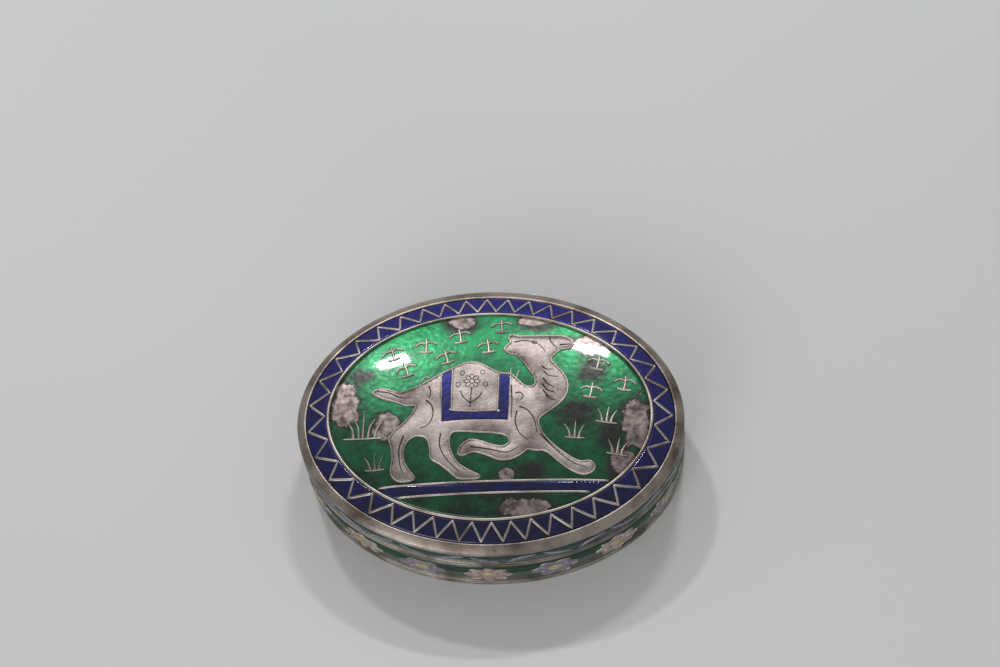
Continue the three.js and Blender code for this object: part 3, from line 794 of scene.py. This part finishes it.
def make_body():
    base = [(0, BASE_LOW.z), (HALF_X, BASE_LOW.z), (HALF_X, BASE_HIGH.z), (0, BASE_HIGH.z)]
    make_piece("base", [turned(base)], SILVER, "body", ["base_plate"], EDGE_SOFTNESS)
    wall = channel(WALL_LOW.z, WALL_HIGH.z, BODY_FILL_LOW.z, BODY_FILL_HIGH.z, WALL_THICKNESS)
    make_piece("wall", [turned(wall)], SILVER, "body", ["body_wall"], EDGE_SOFTNESS)
    make_piece("wall_enamel", [turned(filled(BODY_FILL_LOW.z, BODY_FILL_HIGH.z))], WALL_GREEN, "body",
               ["body_enamel"])
    outer = LINING_HIGH.x
    inner = outer - LINING_THICKNESS
    lining = [(inner, LINING_LOW.z), (outer, LINING_LOW.z), (outer, LINING_HIGH.z), (inner, LINING_HIGH.z)]
    make_piece("lining", [turned(lining)], INNER_SILVER, "body",
               ["lid_seat_lining"], EDGE_SOFTNESS)


def make_wall_flower(number, place):
    """One flower, its wires and its heart. place counts round the wall from the middle of its front."""
    middle = place * WALL_LENGTH / FLOWER_PLACES
    height = (BODY_FILL_LOW.z + BODY_FILL_HIGH.z) / 2
    is_lilac = place % 2 == 1
    lobes = LILAC_LOBES if is_lilac else PINK_LOBES
    petal_colour = LILAC if is_lilac else PINK
    outline = flower_outline(lobes, FLOWER_HALF_LENGTH, FLOWER_HALF_HEIGHT, FLOWER_NOTCH)
    heart = flower_outline(HEART_LOBES, HEART_HALF_LENGTH, HEART_HALF_HEIGHT, HEART_NOTCH)

    def on_flower(x, y, out):
        return on_wall(middle + x, height + y, out - FLOWER_SINK)

    def petal_top(x, y):
        angle = math.atan2(y / FLOWER_HALF_HEIGHT, x / FLOWER_HALF_LENGTH)
        crown = 0.5 + 0.5 * math.cos(lobes * angle)
        return FLOWER_SINK + PETAL_RISE * crown * min(1, edge_distance(outline, x, y) / PETAL_EDGE)

    def heart_top(x, y):
        return HEART_BASE + HEART_RISE * min(1, edge_distance(heart, x, y))

    petals = slab([outline], lambda x, y: inside(outline, x, y), on_flower, petal_top,
                  depth=0.25, spacing=0.5)
    make_piece(f"wall_flower_{number:02d}", [petals], petal_colour, "body",
               [f"body_flower_{number:02d}"])
    wires = [ribbon(outline, width=0.24, proud=0.16, place=on_flower, closed=True)]
    for i in range(lobes):
        angle = 2 * math.pi * (i + 0.5) / lobes
        vein = [(along * math.cos(angle), across * math.sin(angle)) for along, across in VEIN_ENDS]
        wires.append(ribbon(vein, width=0.2, proud=0.15, place=on_flower))
    make_piece(f"wall_flower_wire_{number:02d}", wires, WIRE_SILVER, "body", ())
    centre = slab([heart], lambda x, y: inside(heart, x, y), on_flower, heart_top,
                  depth=0.2, spacing=0.35)
    make_piece(f"wall_flower_heart_{number:02d}", [centre], YELLOW, "body")


def make_wall_flowers():
    hinge_place = FLOWER_PLACES // 2
    places = [place for place in range(FLOWER_PLACES) if place != hinge_place]
    for number, place in enumerate(places, start=1):
        make_wall_flower(number, place)


def dress_hinge():
    for name in ("body_hinge_leaf", "lid_hinge_leaf", "hinge_pin"):
        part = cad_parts[name]
        part.data.materials.clear()
        part.data.materials.append(SILVER)
        add_soft_edges(part, HINGE_SOFTNESS)


# Lid

def make_lid_metal():
    stations = [PLATE_HIGH.x * i / PLATE_RINGS for i in range(PLATE_RINGS + 1)]
    plate = [(r, dome(r) - PLATE_TOP_DEPTH) for r in stations]
    plate += [(r, dome(r) - PLATE_UNDER_DEPTH) for r in reversed(stations)]
    make_piece("plate", [turned(plate)], INNER_SILVER, "lid", ["lid_plate"])
    band = channel(BAND_LOW.z, BAND_HIGH.z, BAND_FILL_LOW.z, BAND_FILL_HIGH.z, BAND_THICKNESS)
    make_piece("band", [turned(band)], SILVER, "lid", ["lid_band"], EDGE_SOFTNESS)
    make_piece("band_enamel", [turned(filled(BAND_FILL_LOW.z, BAND_FILL_HIGH.z))], WALL_GREEN, "lid",
               ["lid_band_enamel"])
    flange = HALF_X - BAND_THICKNESS - JOINT_GAP
    ledge = PLATE_LOW.z - JOINT_GAP
    edge_bottom = BAND_HIGH.z + JOINT_GAP
    rim = [
        (flange - RIM_LEDGE, RIM_LOW.z), (flange, RIM_LOW.z), (flange, edge_bottom),
        (HALF_X, edge_bottom), (HALF_X, RIM_EDGE_TOP), (HALF_X - RIM_BEVEL, RIM_EDGE_TOP + RIM_BEVEL_RISE),
        (RIM_INNER + RIM_LIP, RIM_HIGH.z + RIM_LIP_RISE), (RIM_INNER, RIM_HIGH.z),
        (RIM_INNER, ledge), (flange - RIM_LEDGE, ledge),
    ]
    make_piece("rim", [turned(rim)], RIM_SILVER, "lid", ["lid_rim"], EDGE_SOFTNESS)
    half_turn = [math.pi * i / BEZEL_STEPS for i in range(BEZEL_STEPS + 1)]
    bezel = [(MED_X + BEZEL_WIDTH / 2 * math.cos(a), BEZEL_Z - JOINT_GAP + BEZEL_CROWN * math.sin(a))
             for a in half_turn]
    bezel += [(MED_X - BEZEL_WIDTH / 2, BEZEL_Z - BEZEL_DEPTH),
              (MED_X + BEZEL_WIDTH / 2, BEZEL_Z - BEZEL_DEPTH)]
    make_piece("bezel", [turned(bezel)], WIRE_SILVER, "lid", ["medallion_bezel"])


def band_leaf(number):
    """One long leaf on the lid's side. Odd ones lean up and even ones down."""
    middle = (BAND_FILL_LOW.z + BAND_FILL_HIGH.z) / 2
    half = (BAND_FILL_HIGH.z - BAND_FILL_LOW.z) / 2
    start = number * WALL_LENGTH / BAND_LEAVES
    lean = 1 if number % 2 else -1
    stroke = spline([(LEAF_START[0], LEAF_START[1] * half * lean), (LEAF_BEND[0], LEAF_BEND[1] * lean),
                     (LEAF_END[0], LEAF_END[1] * half * lean)], steps=5)
    widths = [LEAF_TIP_WIDTH + LEAF_SWELL * math.sin(math.pi * (k + 0.5) / len(stroke))
              for k in range(len(stroke))]
    left = [(x, y + w / 2) for (x, y), w in zip(stroke, widths)]
    right = [(x, y - w / 2) for (x, y), w in zip(stroke, widths)]
    outline = left + right[::-1]

    def on_band(x, y, out):
        return on_wall(start + x, middle + y, out - LEAF_SINK)

    def leaf_top(x, y):
        return LEAF_SINK + LEAF_RISE * min(1, edge_distance(outline, x, y) / LEAF_EDGE)

    return slab([outline], lambda x, y: inside(outline, x, y), on_band, leaf_top, depth=0.2, spacing=0.45)


def make_band_leaves():
    leaves = [band_leaf(number) for number in range(BAND_LEAVES)]
    make_piece("band_leaves", leaves, LILAC, "lid", ())


def make_border():
    outer = RIM_INNER - BORDER_MARGIN
    inner = MED_X + BEZEL_WIDTH / 2 + JOINT_GAP
    enamel = dome_profile(inner, outer, above=-ENAMEL_SINK, below=ENAMEL_DEPTH, rings=BORDER_RINGS)
    make_piece("border", [turned(enamel)], BLUE, "lid", ["border_enamel"])
    step = 2 * math.pi / ZIGZAG_POINTS
    line = []
    for i in range(ZIGZAG_POINTS):
        outward = on_ring(outer - ZIGZAG_INSET, ZIGZAG_PHASE + i * step)
        inward = on_ring(inner + ZIGZAG_INSET, ZIGZAG_PHASE + (i + 0.5) * step)
        following = on_ring(outer - ZIGZAG_INSET, ZIGZAG_PHASE + (i + 1) * step)
        line += [mix(outward, inward, k / ZIGZAG_STEPS) for k in range(ZIGZAG_STEPS)]
        line += [mix(inward, following, k / ZIGZAG_STEPS) for k in range(ZIGZAG_STEPS)]
    wire = ribbon(line, ZIGZAG_WIDTH, WIRE_PROUD, on_lid, closed=True)
    make_piece("zigzag", [wire], WIRE_SILVER, "lid", ["border_zigzag_wire"])


def make_field():
    edge = MED_X - BEZEL_WIDTH / 2 - JOINT_GAP
    enamel = dome_profile(0, edge, above=-ENAMEL_SINK, below=ENAMEL_DEPTH, rings=FIELD_RINGS)
    make_piece("field", [turned(enamel)], GREEN, "lid", ["medallion_enamel"])


def make_camel():
    camel = spline(fitted(CAMEL), steps=3, closed=True)
    cloth = fitted(CLOTH)
    panel = fitted(PANEL)
    outlines = [camel, cloth, panel]

    def relief(x, y):
        return CAMEL_RISE * (1 - math.exp(-edge_distance(camel, x, y) / CAMEL_SHOULDER))

    def on_figure(x, y):
        return inside(camel, x, y) and not inside(cloth, x, y)

    def on_cloth(x, y):
        return inside(camel, x, y) and inside(cloth, x, y) and not inside(panel, x, y)

    figure = slab(outlines, on_figure, on_lid, relief, INLAY_DEPTH, INLAY_SPACING)
    make_piece("camel", [figure], FIGURE_SILVER, "lid", ["camel_figure"])
    blue = slab(outlines, on_cloth, on_lid, lambda x, y: CLOTH_PROUD, INLAY_DEPTH, INLAY_SPACING)
    make_piece("cloth_enamel", [blue], BLUE, "lid", ["saddle_cloth_enamel"])
    flowered = slab(outlines, lambda x, y: inside(camel, x, y) and inside(panel, x, y),
                    on_lid, lambda x, y: PANEL_PROUD, INLAY_DEPTH, INLAY_SPACING)
    make_piece("cloth_panel", [flowered], FIGURE_SILVER, "lid", ["saddle_panel"])
    outline_wire = ribbon(camel, WIRE_WIDTH, proud=0.2, place=on_lid, closed=True)
    make_piece("camel_wire", [outline_wire], WIRE_SILVER, "lid", ["camel_outline_wire"])
    for name, outline, replaced in (("cloth_frame", cloth, "saddle_cloth_frame"),
                                    ("panel_frame", panel, "saddle_panel_frame")):
        runs = runs_inside(fine_line(outline), camel)
        wires = [ribbon(run, WIRE_WIDTH, proud=0.22, place=on_lid) for run in runs]
        make_piece(name, wires, WIRE_SILVER, "lid", [replaced])
    engrave_camel(camel, relief)
    engrave_panel(camel)


def engrave_camel(camel, relief):
    def on_camel(x, y, height):
        return on_lid(x, y, relief(x, y) + height)

    cuts = []
    for stroke in ENGRAVED:
        for run in runs_inside(spline(fitted(stroke), steps=6), camel):
            cuts.append(ribbon(run, width=0.42, proud=0.03, place=on_camel, tips=(1, 0.4)))
    eye = [(EYE[0] + EYE_HALF_SIZE[0] * math.cos(a), EYE[1] + EYE_HALF_SIZE[1] * math.sin(a))
           for a in turn_steps(12)]
    cuts.append(ribbon(fitted(eye), width=0.22, proud=0.04, place=on_camel, closed=True))
    make_piece("camel_engraving", cuts, ENGRAVED_SILVER, "lid", ())


def engrave_panel(camel):
    def on_panel(x, y, height):
        return on_lid(x, y, PANEL_PROUD + height)

    def cut(line, width, closed=False):
        return ribbon(line, width, proud=0.05, place=on_panel, closed=closed)

    strokes = [cut(spline(fitted(stem), steps=5), width=0.26) for stem in FLOWER_STEM]
    for angle in turn_steps(8):
        petal = petal_loop(PANEL_FLOWER, angle, start=0.5, end=1.75, half_width=0.42)
        strokes.append(cut(fitted(petal), width=0.18, closed=True))
    for x, y in PANEL_BUDS:
        loop = fitted([(x + BUD_HALF_SIZE[0] * math.cos(a), y + BUD_HALF_SIZE[1] * math.sin(a))
                       for a in turn_steps(10)])
        if all(inside(camel, *point) for point in loop):
            strokes.append(cut(loop, width=0.2, closed=True))
    make_piece("panel_engraving", strokes, ENGRAVED_SILVER, "lid", ())


def make_ground():
    top = fine_line(fitted(GROUND_TOP), GROUND_STEP)
    bottom = fine_line(fitted(GROUND_BOTTOM), GROUND_STEP)
    field = [stretched_on_ring(MED_X - GROUND_MARGIN, a) for a in turn_steps(120)]
    band = top + bottom[::-1]
    enamel = slab([band, field], lambda x, y: inside(band, x, y) and inside(field, x, y),
                  on_lid, lambda x, y: GROUND_PROUD, depth=0.35, spacing=0.9)
    make_piece("ground_enamel", [enamel], BLUE, "lid", ["ground_line_enamel"])
    for name, line in (("upper", top), ("lower", bottom)):
        wires = [ribbon(run, WIRE_WIDTH, proud=0.18, place=on_lid) for run in runs_inside(line, field)]
        make_piece(f"ground_wire_{name}", wires, WIRE_SILVER, "lid", [f"ground_line_{name}_wire"])


def make_sprigs():
    for number, (x, y, lean) in enumerate(SPRIGS, start=1):
        stem = placed(spline(SPRIG_STEM), x, y, lean)
        foot = placed(spline(SPRIG_FOOT), x, y, lean)
        arms = placed(spline(SPRIG_ARMS), x, y, lean)
        parts = [
            ribbon(stem, width=0.76, proud=0.18, place=on_lid, tips=(1, 0.8)),
            ribbon(foot, width=0.62, proud=0.18, place=on_lid),
            ribbon(arms, width=0.74, proud=0.18, place=on_lid, tips=(0.8, 0.8)),
        ]
        make_piece(f"sprig_silver_{number:02d}", parts, WIRE_SILVER, "lid",
                   [f"sprig_{number:02d}"])
    sprouts = [ribbon(fitted(spline(sprout)), width=0.45, proud=0.15, place=on_lid, tips=(1, 0.6))
               for sprout in SPROUTS]
    make_piece("small_sprouts", sprouts, WIRE_SILVER, "lid", ())


def make_tufts():
    for number, (x, y, lean, foot, blades) in enumerate(TUFTS, start=1):
        base = placed(spline([(-foot / 2, 0), (0, -0.12), (foot / 2, 0)]), x, y, lean)
        parts = [ribbon(base, width=0.5, proud=0.18, place=on_lid, tips=(0.7, 0.7))]
        for blade in blades:
            line = placed(spline(blade), x, y, lean)
            parts.append(ribbon(line, width=0.8, proud=0.2, place=on_lid, tips=(1.1, 0.2)))
        make_piece(f"tuft_silver_{number}", parts, WIRE_SILVER, "lid", [f"grass_tuft_{number}"])


# Floor, lights and camera, in metres

FLOOR_HALF = 1.5
# The floor lies just under the box, so that their faces stay apart.
FLOOR_DROP = 0.00005
FLOOR_PAPER = [(0.3, (0.62, 0.62, 0.61)), (0.7, (0.68, 0.68, 0.67))]

SKY_COLOUR = (0.86, 0.88, 0.92, 1)
SKY_STRENGTH = 0.45

# The camera's turn in degrees about X, Y and Z, and its place in half-lengths of the box.
VIEW_TURN = (-28, -3.61, -1.77)
VIEW_OFFSET = (0.052, 0.4429, 11.333)
VIEW_UNIT = 41 * MM


def make_floor():
    mesh = bpy.data.meshes.new("floor")
    corners = [(-FLOOR_HALF, -FLOOR_HALF, 0), (FLOOR_HALF, -FLOOR_HALF, 0),
               (FLOOR_HALF, FLOOR_HALF, 0), (-FLOOR_HALF, FLOOR_HALF, 0)]
    mesh.from_pydata(corners, [], [(0, 1, 2, 3)])
    floor = bpy.data.objects.new("floor", mesh)
    floor.location.z = -FLOOR_DROP
    bpy.context.scene.collection.objects.link(floor)
    material, tree, shader = new_material("floor_paper", roughness=0.85)
    tree.links.new(ramp(tree, clouds(tree, scale=3, detail=2), FLOOR_PAPER), shader.inputs["Base Color"])
    floor.data.materials.append(material)


def add_light(name, place, size, power):
    light = bpy.data.lights.new(name, "AREA")
    light.shape = "RECTANGLE"
    light.size, light.size_y = size
    light.energy = power
    lamp = bpy.data.objects.new(name, light)
    lamp.location = place
    lamp.rotation_euler = (-Vector(place)).to_track_quat("-Z", "Y").to_euler()
    bpy.context.scene.collection.objects.link(lamp)


def make_lights():
    world = bpy.data.worlds.new("studio")
    world.use_nodes = True
    sky = world.node_tree.nodes["Background"]
    sky.inputs["Color"].default_value = SKY_COLOUR
    sky.inputs["Strength"].default_value = SKY_STRENGTH
    bpy.context.scene.world = world
    add_light("back_left", place=(-0.24, 0.535, 0.65), size=(0.06, 0.04), power=1.6)
    add_light("back_right", place=(0.102, 0.594, 0.636), size=(0.11, 0.03), power=1.6)
    add_light("front_fill", place=(-0.35, -0.75, 0.45), size=(0.5, 0.4), power=2.4)


def make_camera():
    """The viewing angle of the photograph, seen from the box as it lies."""
    tilt, roll, spin = [Matrix.Rotation(math.radians(angle), 3, axis)
                        for angle, axis in zip(VIEW_TURN, "XYZ")]
    turn = (tilt @ roll @ spin).transposed()
    offset = turn @ Vector(VIEW_OFFSET) * VIEW_UNIT
    camera = bpy.data.cameras.new("camera")
    camera.sensor_width = 36
    camera.lens = 79.2
    camera.clip_start = 0.01
    view = bpy.data.objects.new("camera", camera)
    view.matrix_world = Matrix.Translation(offset + Vector((0, 0, RIM_EDGE_TOP * MM))) @ turn.to_4x4()
    bpy.context.scene.collection.objects.link(view)
    bpy.context.scene.camera = view


make_body()
make_wall_flowers()
make_lid_metal()
make_band_leaves()
make_border()
make_field()
make_camel()
make_ground()
make_sprigs()
make_tufts()
dress_hinge()
make_floor()
make_lights()
make_camera()
bpy.context.scene.view_settings.view_transform = "Standard"
